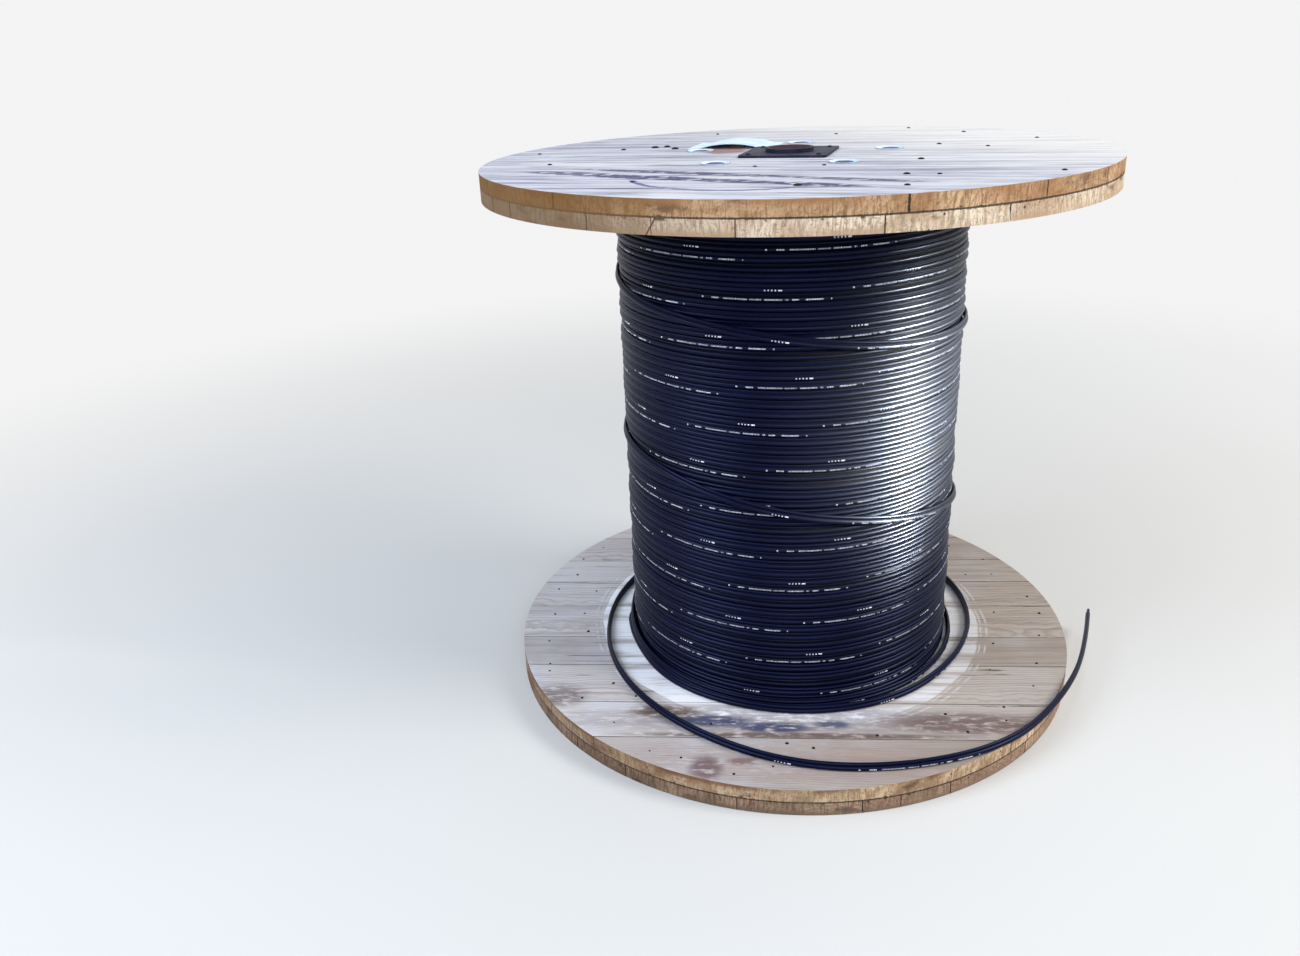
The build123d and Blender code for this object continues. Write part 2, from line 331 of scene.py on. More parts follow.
def board_wood(name, turn, joints, low, seam, face, rim, seed, knots=0.0):
    """Softwood whose grain runs along the boards of one layer, each board from its own tree.

    low is the height of the layer's underside, seam that of its joint with the other layer.
    """
    wood = Finish(name)
    place = wood.place()
    here = wood.turned(place, turn)
    along, across, height = wood.split(here)
    wood.drum_place, wood.along, wood.across, wood.height = place, along, across, height

    # Which board a point is on, with the slightly frayed joints between boards
    fray_depth = 0.0014
    joint_half_width = 0.0008
    fray = wood.noise(place, 190.0, 2.0)
    frayed = wood.math("MULTIPLY_ADD", fray, fray_depth, wood.math("SUBTRACT", across, fray_depth / 2))
    board, joint = 0.5, 0.0
    for share in joints:
        joint_place = share * flange_radius
        board = wood.math("ADD", board, wood.math("GREATER_THAN", across, joint_place))
        at_joint = wood.math("COMPARE", frayed, joint_place, joint_half_width)
        joint = wood.math("MAXIMUM", joint, at_joint)
    pick_a, pick_b, pick_c = wood.split(wood.chance(wood.math("MULTIPLY_ADD", board, 37.0, seed)))
    tree = wood.added(here, wood.joined(wood.math("MULTIPLY", pick_a, 9.0), 0.0, pick_b))

    # Growth rings: distance from a pith that lies 20 to 120 mm below the board, up to 300 mm aside
    pith_aside = 0.30
    pith_depth, deeper_by = 0.02, 0.10
    broad_sway, small_sway = 0.12, 0.008
    rings_a_metre = 230.0
    pith_across = wood.math("MULTIPLY_ADD", pick_a, 2 * pith_aside, -pith_aside)
    pith_height = wood.math("MULTIPLY_ADD", pick_c, deeper_by, pith_depth - low)
    sway = wood.noise(wood.turned(tree, 0, (1.2, 3.0, 3.0)), 1.0, 2.0)
    fine_sway = wood.noise(tree, 26.0, 2.0)
    off_pith = wood.math("SUBTRACT", across, pith_across)
    above_pith = wood.math("ADD", height, pith_height)
    ring_across = wood.math("MULTIPLY_ADD", sway, broad_sway, off_pith)
    ring_height = wood.math("MULTIPLY_ADD", fine_sway, small_sway, above_pith)
    from_pith = wood.length(wood.joined(0.0, ring_across, ring_height))
    ring = wood.math("FRACT", wood.math("MULTIPLY", from_pith, rings_a_metre))
    late_wood = wood.ramp(ring, [(0.0, 0.0), (0.55, 0.1), (0.88, 1.0), (1.0, 0.0)])

    # Fibres, cracks, broad streaks and clouds of weather along the board
    fibres = wood.noise(wood.turned(tree, 0, (9.0, 520.0, 520.0)), 1.0, 5.0, 0.7)
    thin_streaks = wood.noise(wood.turned(tree, 0, (5.0, 150.0, 150.0), (0.4, 0.8, 0.2)), 1.0, 4.0, 0.65)
    long_streaks = wood.noise(wood.turned(tree, 0, (2.6, 85.0, 85.0), (0.1, 0.3, 0.7)), 1.0, 4.0, 0.6)
    streaks = wood.noise(wood.turned(tree, 0, (1.7, 30.0, 30.0)), 1.0, 5.0, 0.6)
    clouds = wood.noise(tree, 6.0, 4.0, 0.6)

    toned = wood.mix(wood.math("MULTIPLY", pick_b, 0.9), face["pale"], face["dark"])
    figured = wood.mix(wood.math("MULTIPLY", late_wood, face["rings"]), toned, face["late"])
    weathered = wood.mix(wood.partly(clouds, 0.42, 0.72, 0.55), figured, face["weather"])
    streaked = wood.mix(wood.partly(streaks, 0.53, 0.70, face["streaks"]), weathered, face["streak"])
    lined = wood.mix(wood.partly(long_streaks, 0.50, 0.64, face["streaks"]), streaked, face["streak"])
    crack_share = wood.partly(thin_streaks, face["cracks"], face["cracks"] + 0.08, 0.9)
    cracked = wood.mix(crack_share, lined, face["crack"])
    cracked = wood.mix(wood.math("MULTIPLY", joint, 0.8), cracked, face["crack"])
    if knots:
        from_knot, knot_pick = wood.cells(wood.turned(tree, 0, (3.4, 9.0, 0.01), (0.3, 0.6, 0)))
        rare_knot = wood.math("LESS_THAN", knot_pick, knots)
        knot_share = wood.math("MULTIPLY", rare_knot, wood.fades(from_knot, 0.03, 0.15))
        cracked = wood.mix(knot_share, cracked, (0.13, 0.07, 0.045))
    wood.face_colour = cracked

    # Sawn rim: rings, saw marks across them, stains and small dark holes. A hole's reach is a
    # share of its cell.
    end_rings_a_metre = 120.0
    hole_cells_a_metre, hole_share, hole_reach = 46.0, 0.55, 0.085
    rough = wood.noise(place, 260.0, 4.0, 0.7)
    saw_marks = wood.noise(wood.turned(place, 0, (270.0, 270.0, 42.0)), 1.0, 3.0, 0.75)
    end_ring = wood.math("FRACT", wood.math("MULTIPLY", from_pith, end_rings_a_metre))
    end_late = wood.ramp(end_ring, [(0.0, 0.0), (0.5, 0.1), (0.85, 1.0), (1.0, 0.0)])
    rim_clouds = wood.noise(place, 13.0, 4.0, 0.6)
    stains = wood.noise(wood.turned(place, 0, (15.0, 15.0, 34.0)), 1.0, 5.0, 0.65)
    end_toned = wood.mix(wood.math("MULTIPLY", pick_c, 0.95), rim["pale"], rim["dark"])
    end_rings = wood.mix(wood.math("MULTIPLY", end_late, 0.45), end_toned, rim["late"])
    end_clouded = wood.mix(wood.partly(rim_clouds, 0.44, 0.66, 0.72), end_rings, rim["edge"])
    end_sawn = wood.mix(wood.partly(saw_marks, 0.47, 0.60, 0.80), end_clouded, rim["late"])
    end_rough = wood.mix(wood.partly(rough, 0.52, 0.66, 0.62), end_sawn, rim["stain"])
    end_stained = wood.mix(wood.partly(stains, 0.55, 0.68, 0.85), end_rough, rim["stain"])
    from_hole, hole_pick = wood.cells(place, hole_cells_a_metre)
    rare_hole = wood.math("LESS_THAN", hole_pick, hole_share)
    in_hole = wood.math("MULTIPLY", rare_hole, wood.math("LESS_THAN", from_hole, hole_reach))
    end_holed = wood.mix(wood.math("MULTIPLY", in_hole, 0.85), end_stained, (0.035, 0.02, 0.014))

    # Its free edge is browner, and the seam to the other layer is dark, with dents along it
    from_seam = wood.math("ABSOLUTE", wood.math("SUBTRACT", height, seam))
    from_free = wood.math("SUBTRACT", board_thickness, from_seam)
    browned_width, browned_fray, seam_fray = 0.009, 0.005, 0.0024
    ragged_edge = wood.math("MULTIPLY_ADD", rough, -browned_fray, from_free)
    free_edge = wood.fades(ragged_edge, 0.0, browned_width)
    free_share = wood.math("MULTIPLY", free_edge, wood.between(clouds, 0.42, 0.56))
    end_edged = wood.mix(wood.math("MULTIPLY", free_share, 0.85), end_holed, rim["edge"])
    ragged_seam = wood.math("MULTIPLY_ADD", rough, -seam_fray, from_seam)
    seam_share = wood.fades(ragged_seam, -0.0004, 0.0006)
    dents = wood.noise(place, 42.0, 2.0)
    dent_share = wood.math("MULTIPLY", wood.fades(from_seam, 0.002, 0.006), wood.between(dents, 0.64, 0.68))
    gap_share = wood.math("MAXIMUM", wood.math("MAXIMUM", seam_share, dent_share), joint)
    wood.rim_colour = wood.mix(wood.math("MULTIPLY", gap_share, 0.9), end_edged, gap_dark)

    # The rim is where the surface stands upright
    normal = wood.nodes.new("ShaderNodeNewGeometry").outputs["Normal"]
    lying = wood.math("ABSOLUTE", wood.split(normal)[2])
    wood.rim_share = wood.between(wood.math("SUBTRACT", 1.0, lying), 0.35, 0.75)
    wood.fibre_tone = wood.mix(wood.between(fibres, 0.50, 0.78), (1.0, 1.0, 1.0), (0.62, 0.58, 0.58))
    wood.surface.inputs["Specular IOR Level"].default_value = 0.22
    lift = wood.math("MULTIPLY_ADD", late_wood, 0.3, wood.math("MULTIPLY", fibres, 0.7))
    rim_lift = wood.math("MULTIPLY", wood.rim_share, wood.math("ADD", saw_marks, rough))
    wood.relief(wood.math("ADD", rim_lift, lift), depth=0.0009, strength=0.9)
    return wood


def darken_rim_left(wood, colour, strength):
    """The left side of the rim is darker, in ragged patches."""
    left_dark_from, left_dark_full, raggedness = 0.09, 0.32, 0.16
    left = wood.math("MULTIPLY", wood.split(wood.drum_place)[0], -1.0)
    patches = wood.noise(wood.drum_place, 11.0, 3.0)
    patchy = wood.math("MULTIPLY_ADD", patches, raggedness, wood.math("SUBTRACT", left, raggedness / 2))
    left_dark_share = wood.partly(patchy, left_dark_from, left_dark_full, strength)
    wood.rim_colour = wood.mix(left_dark_share, wood.rim_colour, colour)


def finish_boards(wood, board_name, count):
    """Put the face and rim colours together and give the wood to all boards of a layer."""
    colour = wood.mix(wood.rim_share, wood.face_colour, wood.rim_colour)
    wood.paint(wood.mix(0.85, colour, wood.fibre_tone, "MULTIPLY"), roughness=0.82)
    for number in range(1, count + 1):
        wear(f"{board_name}_{number}", wood)


# Lower flange, outer layer: eight boards that stand on the ground, nailed across the inner
# layer. Their rim is dull brown, with painted shade to the left and painted sunlight to the right.
bottom_outer_joints = [-0.714, -0.444, -0.288, -0.172, 0.198, 0.544, 0.716]

# A face has its colours, the strength of its rings and streaks, and the level where cracks begin
brown_face = {
    "pale": (0.56, 0.52, 0.49), "dark": (0.37, 0.33, 0.305), "late": (0.25, 0.20, 0.17), "rings": 0.55,
    "weather": (0.53, 0.54, 0.58), "streak": (0.29, 0.245, 0.23), "crack": (0.08, 0.06, 0.06),
    "streaks": 0.42, "cracks": 0.62,
}
dull_rim = {
    "pale": (0.40, 0.28, 0.20), "dark": (0.24, 0.16, 0.11), "late": (0.12, 0.075, 0.05),
    "stain": (0.09, 0.06, 0.045), "edge": (0.16, 0.11, 0.075),
}
shaded_x, sunlit_x = -0.30, 0.40
wood = board_wood(
    "lower_outer_boards", turn=radians(90), joints=bottom_outer_joints, low=0.0, seam=board_thickness,
    face=brown_face, rim=dull_rim, seed=3.0)
# Painted light: the rim is darkened to the left as painted shade and made much lighter to the right as
# painted sunlight
to_right = wood.between(wood.split(wood.drum_place)[0], shaded_x, sunlit_x)
rim_light_and_shade = wood.mix(to_right, (0.80, 0.76, 0.72), (1.55, 1.52, 1.48))
wood.rim_colour = wood.mix(1.0, wood.rim_colour, rim_light_and_shade, "MULTIPLY")
finish_boards(wood, "bottom_outer_board", len(bottom_outer_joints) + 1)

# Lower flange, inner layer: ten boards nailed to the outer ones. The staves and the cable stand
# on them. The sun has bleached a ring round the cable, with a double edge, and the front boards
# have brown and bluish smudges. Painted light tints the face bluish to the left and warm to the
# right, and painted shade makes the ring fainter to the right.
bottom_inner_joints = [-0.758, -0.572, -0.352, -0.168, 0.056, 0.248, 0.43, 0.64, 0.84]
bleached_radius = 0.354
bleached_fade = 0.004
ring_fray = 0.012
ring_line_radii = (0.3605, 0.3705)
ring_line_half_width = 0.0018
ring_line_strength = 0.28
ochre_rim = {
    "pale": (0.80, 0.62, 0.43), "dark": (0.58, 0.43, 0.28), "late": (0.29, 0.17, 0.085),
    "stain": (0.12, 0.07, 0.045), "edge": (0.15, 0.065, 0.025),
}
wood = board_wood(
    "lower_inner_boards", turn=0.0, joints=bottom_inner_joints, low=board_thickness,
    seam=board_thickness, face=brown_face, rim=ochre_rim, seed=11.0, knots=0.06)
left_x, right_x = -0.48, 0.48
side = wood.between(wood.along, left_x, right_x)
# Painted light: bluish and lighter to the left, warmer and darker to the right
painted_light_tint = wood.mix(side, (1.13, 1.17, 1.27), (0.78, 0.725, 0.67))
light_tinted_face = wood.mix(1.0, wood.face_colour, painted_light_tint, "MULTIPLY")
ragged = wood.noise(wood.drum_place, 14.0, 3.0)
from_axis = wood.length(wood.joined(wood.along, wood.across, 0.0))
ring_reach = wood.math("MULTIPLY_ADD", ragged, ring_fray, from_axis)
worn = wood.noise(wood.turned(wood.drum_place, 0, (4.0, 42.0, 1.0)), 1.0, 4.0, 0.6)
inside_ring = wood.fades(ring_reach, bleached_radius, bleached_radius + bleached_fade)
ring_share = wood.math("MULTIPLY", inside_ring, wood.between(worn, 0.31, 0.57))
# Painted shade: the bleached ring is painted fainter towards the right
ring_fading_in_painted_shade = wood.math("MULTIPLY_ADD", side, -0.62, 1.05)
bleached_share = wood.math("MULTIPLY", ring_share, ring_fading_in_painted_shade)
for line_radius in ring_line_radii:
    ring_line = wood.math("COMPARE", ring_reach, line_radius, ring_line_half_width)
    line_share = wood.math("MULTIPLY", ring_line, wood.between(worn, 0.42, 0.60))
    bleached_share = wood.math("MULTIPLY_ADD", line_share, ring_line_strength, bleached_share)
lower_face = wood.mix(bleached_share, light_tinted_face, (0.90, 0.925, 1.0))


def oval_reach(wood, x, y, middle, length, width):
    """How far a point of a face is from the middle of an oval, 1 being its edge."""
    off_x = wood.math("MULTIPLY", wood.math("SUBTRACT", x, middle[0]), 1 / length)
    off_y = wood.math("MULTIPLY", wood.math("SUBTRACT", y, middle[1]), 1 / width)
    return wood.length(wood.joined(off_x, off_y, 0.0))


# Smudges as (middle, half length, half width, colour, strength)
smudges = [
    ((-0.020, -0.334), 0.440, 0.050, (0.27, 0.245, 0.27), 0.70),
    ((-0.140, -0.336), 0.085, 0.019, (0.055, 0.065, 0.13), 0.95),
    ((-0.040, -0.352), 0.075, 0.017, (0.050, 0.060, 0.13), 0.95),
    ((0.055, -0.343), 0.035, 0.013, (0.07, 0.085, 0.15), 0.90),
    ((-0.215, -0.312), 0.070, 0.022, (0.09, 0.050, 0.035), 0.85),
    ((0.000, -0.372), 0.330, 0.009, (0.12, 0.07, 0.055), 0.85),
    ((0.270, -0.338), 0.150, 0.034, (0.135, 0.085, 0.075), 0.85),
    ((0.000, -0.436), 0.380, 0.060, (0.34, 0.25, 0.225), 0.50),
    ((-0.145, -0.452), 0.032, 0.034, (0.125, 0.070, 0.075), 0.80),
    ((-0.088, -0.436), 0.030, 0.012, (0.15, 0.085, 0.08), 0.75),
    ((-0.400, -0.270), 0.060, 0.040, (0.12, 0.085, 0.08), 0.70),
]
blots = wood.noise(wood.turned(wood.drum_place, 0, (38.0, 110.0, 1.0)), 1.0, 3.0, 0.6)
blot_share = wood.between(blots, 0.30, 0.54)
for middle, length, width, smudge_colour, strength in smudges:
    soft = wood.fades(oval_reach(wood, wood.along, wood.across, middle, length, width), 0.45, 1.1)
    share = wood.math("MULTIPLY", wood.math("MULTIPLY", soft, blot_share), strength)
    lower_face = wood.mix(share, lower_face, smudge_colour)
wood.face_colour = lower_face
darken_rim_left(wood, (0.15, 0.085, 0.05), 0.62)
finish_boards(wood, "bottom_inner_board", len(bottom_inner_joints) + 1)

# Barrel staves: twelve sawn softwood boards with bevelled edges, stood in a ring and clamped
# between the flanges. They are out of the weather and still fresh. No seam crosses them, so it
# is set far below.
fresh_face = {
    "pale": (0.56, 0.43, 0.29), "dark": (0.48, 0.36, 0.23), "late": (0.38, 0.25, 0.14), "rings": 0.4,
    "weather": (0.55, 0.43, 0.30), "streak": (0.42, 0.30, 0.18), "crack": (0.30, 0.20, 0.12),
    "streaks": 0.4, "cracks": 0.64,
}
fresh_rim = {
    "pale": (0.52, 0.38, 0.24), "dark": (0.46, 0.33, 0.20), "late": (0.34, 0.21, 0.11),
    "stain": (0.30, 0.20, 0.12), "edge": (0.40, 0.28, 0.17),
}
stave_count = 12
no_seam = -1.0
wood = board_wood(
    "barrel_staves", turn=0.0, joints=[0.0], low=0.0, seam=no_seam,
    face=fresh_face, rim=fresh_rim, seed=23.0)
finish_boards(wood, "barrel_stave", stave_count)


# Wound cable: flat black cable, a round cable and a thin carrying wire in one sheath joined
# by a web, laid on edge turn against turn, so each turn shows a broad band and a thin one.
flange_top = 2 * board_thickness
winding_height = 0.810
turn_count = 55
pitch = winding_height / turn_count
cable_height = 0.0144
round_radius = 0.0040
wire_radius = 0.0025
layer_radius = 0.286


def cable_outline():
    """The figure-of-eight section of the cable as a flat closed curve, round cable below."""
    low = -cable_height / 2 + round_radius
    high = cable_height / 2 - wire_radius
    round_angles = (-90, -45, -5, 40, 76)
    wire_angles = (-68, 0, 50, 90)
    points = []
    for angle in round_angles:
        points.append((round_radius * cos(radians(angle)), low + round_radius * sin(radians(angle))))
    for angle in wire_angles:
        points.append((wire_radius * cos(radians(angle)), high + wire_radius * sin(radians(angle))))
    points += [(-x, y) for x, y in reversed(points[1:-1])]
    shape = bpy.data.curves.new("cable_outline", "CURVE")
    shape.dimensions = "2D"
    line = shape.splines.new("POLY")
    line.points.add(len(points) - 1)
    for point, (x, y) in zip(line.points, points):
        point.co = (x, y, 0, 1)
    line.use_cyclic_u = True
    outline = bpy.data.objects.new("cable_outline", shape)
    bpy.context.scene.collection.objects.link(outline)
    return outline


def only(piece):
    """Select one piece and nothing else."""
    bpy.ops.object.select_all(action="DESELECT")
    piece.select_set(True)
    bpy.context.view_layer.objects.active = piece


def run_cable(name, points, outline, smoothness=2):
    """Lay the cable along a line of points; its UV map holds the metres run and the way round."""
    same_point = 0.00002
    shape = bpy.data.curves.new(name, "CURVE")
    shape.dimensions = "3D"
    shape.twist_mode = "Z_UP"
    line = shape.splines.new("NURBS")
    line.points.add(len(points) - 1)
    for point, place in zip(line.points, points):
        point.co = (*place, 1)
    line.order_u = 3
    line.use_endpoint_u = True
    line.resolution_u = smoothness
    cable = bpy.data.objects.new(name, shape)
    bpy.context.scene.collection.objects.link(cable)
    bpy.context.view_layer.update()
    middle = bpy.data.meshes.new_from_object(cable)
    path = [v.co.copy() for v in middle.vertices]
    metres = [0.0]
    for a, b in zip(path, path[1:]):
        metres.append(metres[-1] + (b - a).length)
    shape.bevel_mode = "OBJECT"
    shape.bevel_object = outline
    shape.use_fill_caps = True
    only(cable)
    bpy.ops.object.convert(target="MESH")
    bpy.ops.object.mode_set(mode="EDIT")
    bpy.ops.mesh.select_all(action="SELECT")
    bpy.ops.mesh.remove_doubles(threshold=same_point)
    bpy.ops.mesh.normals_make_consistent(inside=False)
    bpy.ops.object.mode_set(mode="OBJECT")
    bpy.ops.object.shade_smooth_by_angle(angle=radians(50))
    for corner in cable.data.uv_layers[0].data:
        ring = round(corner.uv[0] * (len(metres) - 1))
        corner.uv = (metres[ring], corner.uv[1])
    return cable, path, metres[-1]


def cable_sheath(name):
    """Black sheath, a little glossy and dusty, with white marks printed once a metre."""
    sheath = Finish(name)
    run, way_round, _ = sheath.split(sheath.nodes.new("ShaderNodeUVMap").outputs[0])
    metre = sheath.math("FRACT", run)

    # Marks as (start, end, strength) along the metre: five ticks, then bars between two dots
    marks = [
        (0.5950, 0.5970, 0.7), (0.6000, 0.6020, 0.7), (0.6050, 0.6070, 0.9), (0.6100, 0.6120, 1.0),
        (0.6150, 0.6205, 1.0), (0.7205, 0.7230, 0.8), (0.7360, 0.7470, 1.0), (0.7540, 0.7900, 0.75),
        (0.7935, 0.8110, 0.6), (0.8150, 0.8410, 0.8), (0.8445, 0.8490, 0.7), (0.8540, 0.8640, 1.0),
        (0.8735, 0.8985, 1.0), (0.9090, 0.9115, 0.8),
    ]
    ink = 0.0
    for mark_start, mark_end, strength in marks:
        bar = sheath.math("COMPARE", metre, (mark_start + mark_end) / 2, (mark_end - mark_start) / 2)
        ink = sheath.math("MULTIPLY_ADD", bar, strength, ink)

    # The bars are broken into fine upright strokes of uneven weight, on one side of the sheath
    strokes_a_metre, stroke_share = 440.0, 0.70
    weight_range, lightest = 0.55, 0.45
    bars_from = 0.73
    print_from, print_to = 0.105, 0.152
    step = sheath.math("MULTIPLY", run, strokes_a_metre)
    stroke = sheath.math("LESS_THAN", sheath.math("FRACT", step), stroke_share)
    stroke_pick = sheath.split(sheath.chance(sheath.math("FLOOR", step)))[0]
    stroke_weight = sheath.math("MULTIPLY_ADD", stroke_pick, weight_range, lightest)
    weight = sheath.math("MULTIPLY", stroke, stroke_weight)
    in_bars = sheath.math("GREATER_THAN", metre, bars_from)
    solid_or_broken = sheath.math("MULTIPLY_ADD", in_bars, sheath.math("SUBTRACT", weight, 1.0), 1.0)
    broken_ink = sheath.math("MULTIPLY", ink, solid_or_broken)
    past_start = sheath.math("GREATER_THAN", way_round, print_from)
    before_end = sheath.math("LESS_THAN", way_round, print_to)
    printed = sheath.math("MULTIPLY", broken_ink, sheath.math("MULTIPLY", past_start, before_end))

    dust = sheath.noise(sheath.turned(sheath.place(), 0, (9.0, 9.0, 60.0)), 1.0, 4.0, 0.6)
    black = sheath.mix(sheath.between(dust, 0.45, 0.85), (0.0006, 0.0010, 0.0115), (0.0018, 0.0028, 0.0220))
    dusty = sheath.math("MULTIPLY_ADD", dust, 0.18, 0.28)
    sheath.paint(sheath.mix(printed, black, (0.80, 0.83, 0.90)), dusty)
    sheath.surface.inputs["Specular IOR Level"].default_value = 0.19
    sheath.surface.inputs["Specular Tint"].default_value = (0.44, 0.56, 1.0, 1)
    waves = sheath.noise(sheath.turned(sheath.place(), 0, (24.0, 24.0, 90.0)), 1.0, 2.0)
    sheath.relief(waves, depth=0.0008, strength=0.25)
    return sheath


outline = cable_outline()
sheath = cable_sheath("cable_sheath")


def polar(angle, radius, height):
    """A place from its angle in degrees round the axis, its distance from the axis and its height."""
    return (radius * cos(radians(angle)), radius * sin(radians(angle)), height)


# One long line of points, turn on turn. A turn lies flat, climbs to the next over its last part,
# stands in or out a little and sways up and down, but not where a flange holds it.
random.seed(5)
points_a_turn = 30
start_angle = 90
climb_share = 0.12
held_turns = 3
long_sway, long_sway_shift = 0.0011, 0.37
short_sway, short_sway_shift = 0.0008, 0.21
pushes = (-0.0024, -0.0008, 0.0, 0.0005)
turn_push = [random.choice(pushes) for _ in range(turn_count + 1)]
layer_line = []
for k in range(turn_count * points_a_turn + 1):
    turn = min(k // points_a_turn, turn_count - 1)
    part = k / points_a_turn - turn
    climb = max(0.0, (part - 1 + climb_share) / climb_share) if turn < turn_count - 1 else 0.0
    angle = start_angle + 360 * part
    free = min(1.0, turn / held_turns, (turn_count - 1 - turn) / held_turns)
    long_wave = sin(radians(angle) + long_sway_shift * turn) * long_sway
    short_wave = sin(radians(2 * angle) - short_sway_shift * turn) * short_sway
    height = flange_top + pitch * (turn + 0.5 + climb) + free * (long_wave + short_wave)
    push = turn_push[turn] * (1 - climb) + turn_push[turn + 1] * climb
    layer_line.append(polar(angle, layer_radius + push, height))
wound_cable, _, _ = run_cable("wound_cable", layer_line, outline)
wound_cable.data.materials.append(sheath.material)
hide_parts("cable_winding")
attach(wound_cable, "root")

# Layers below: the turns of the same cable under the outer layer, wound tight on the barrel.
# They show only between the outer turns and are one tube, dead black and without gloss as painted shade.
under_radius = 0.2832
under_wall = 0.057
under_height = winding_height - 0.001
bpy.ops.object.select_all(action="DESELECT")
bpy.ops.mesh.primitive_cylinder_add(
    vertices=96, radius=under_radius, depth=under_height, end_fill_type="NOTHING",
    location=(0, 0, flange_top + winding_height / 2))
layers_below = bpy.context.object
layers_below.name = "cable_layers_below"
bpy.ops.object.transform_apply(location=True, rotation=True, scale=True)
wall = layers_below.modifiers.new("wall", "SOLIDIFY")
wall.thickness = under_wall
wall.offset = -1
bpy.ops.object.modifier_apply(modifier="wall")
bpy.ops.object.shade_smooth_by_angle(angle=radians(40))
# Painted shade: dead black with almost no gloss, so the gaps between the outer turns stay dark
under_sheath = Finish("cable_layers_below")
under_sheath.paint((0.002, 0.002, 0.003, 1), roughness=0.8)
under_sheath.surface.inputs["Specular IOR Level"].default_value = 0.05
layers_below.data.materials.append(under_sheath.material)
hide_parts("cable_winding")
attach(layers_below, "root")

# Crossing turns: the last turns to go on run down over the layer at a slant. The upper one goes
# back into the layer on the right. The lower one comes down behind the drum, lies once round
# the foot of the winding and goes on as the loose cable.
# Their points are (angle, distance from the axis, height).
crossings = {
    "crossing_turn_upper": [
        (-215, 0.2870, 0.7445), (-200, 0.2905, 0.7365), (-180, 0.2925, 0.7235), (-161, 0.2930, 0.7115),
        (-143, 0.2935, 0.6995), (-125, 0.2940, 0.6895), (-107, 0.2940, 0.6785), (-90, 0.2945, 0.6665),
        (-72, 0.2945, 0.6545), (-54, 0.2945, 0.6455), (-36, 0.2945, 0.6405), (-18, 0.2945, 0.6390),
        (0, 0.2940, 0.6390), (20, 0.2920, 0.6380), (38, 0.2880, 0.6370), (52, 0.2865, 0.6370),
    ],
    "crossing_turn_lower": [
        (-215, 0.2870, 0.4520), (-200, 0.2900, 0.4500), (-180, 0.2920, 0.4460), (-161, 0.2930, 0.4420),
        (-143, 0.2935, 0.4350), (-125, 0.2940, 0.4215), (-107, 0.2940, 0.4045), (-90, 0.2945, 0.3895),
        (-74, 0.2945, 0.3765), (-57, 0.2945, 0.3620), (-40, 0.2945, 0.3480), (-22, 0.2945, 0.3340),
        (-4, 0.2945, 0.3200), (16, 0.2945, 0.2980), (38, 0.2945, 0.2650), (62, 0.2945, 0.2250),
        (86, 0.2945, 0.1850), (110, 0.2945, 0.1480), (134, 0.2945, 0.1150), (156, 0.2950, 0.0900),
        (176, 0.2960, 0.0735), (196, 0.2985, 0.0660), (216, 0.3020, 0.0590), (236, 0.3045, 0.0535),
        (258, 0.3055, 0.0525), (282, 0.3060, 0.0525), (306, 0.3060, 0.0525), (330, 0.3050, 0.0525),
        (354, 0.3035, 0.0525), (378, 0.3020, 0.0525), (402, 0.3005, 0.0525), (426, 0.2990, 0.0525),
        (450, 0.2980, 0.0525), (474, 0.2976, 0.0525), (498, 0.2976, 0.0525), (522, 0.2977, 0.0525),
        (545, 0.2979, 0.0525),
    ],
}
for name, places in crossings.items():
    crossing, _, _ = run_cable(name, [polar(*place) for place in places], outline, 6)
    crossing.data.materials.append(sheath.material)
    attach(crossing, "root")

# Loose cable: the outer end, which slips off the winding at the left, lies a turn and a half
# round the lower flange and hangs over its rim at the right, cut off bare.
winding_radius = 0.290
cable_lift = 0.0003

# Its route as (angle, distance off the winding, how far it hangs below the flange's top)
cable_route = [
    (-175.0, 0.0007, 0.0),
    (-159.5, 0.0071, 0.0),
    (-129.0, 0.0258, 0.0),
    (-96.0, 0.0284, 0.0),
    (-63.0, 0.0351, 0.0),
    (-30.0, 0.0354, 0.0),
    (3.0, 0.0568, 0.0),
    (36.5, 0.0688, 0.0),
    (70.0, 0.0678, 0.0),
    (103.5, 0.0603, 0.0),
    (137.0, 0.0458, 0.0),
    (169.0, 0.0408, 0.0),
    (196.0, 0.0548, 0.0),
    (221.5, 0.0813, 0.0),
    (246.0, 0.1148, 0.0),
    (268.5, 0.1573, 0.0),
    (289.5, 0.1853, 0.0),
    (309.5, 0.2138, 0.0),
    (328.5, 0.2153, 0.0005),
    (346.0, 0.2333, 0.005),
    (361.5, 0.2678, 0.0125),
]
loose_line = []
for angle, off_winding, droop in cable_route:
    reach = winding_radius + cable_height / 2 + off_winding
    loose_line.append(polar(angle, reach, flange_top + cable_height / 2 + cable_lift - droop))
loose_cable, loose_path, loose_length = run_cable("loose_cable", loose_line, outline, 12)
loose_cable.data.materials.append(sheath.material)
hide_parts("loose_cable_end")
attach(loose_cable, "root")
bpy.data.objects.remove(outline)

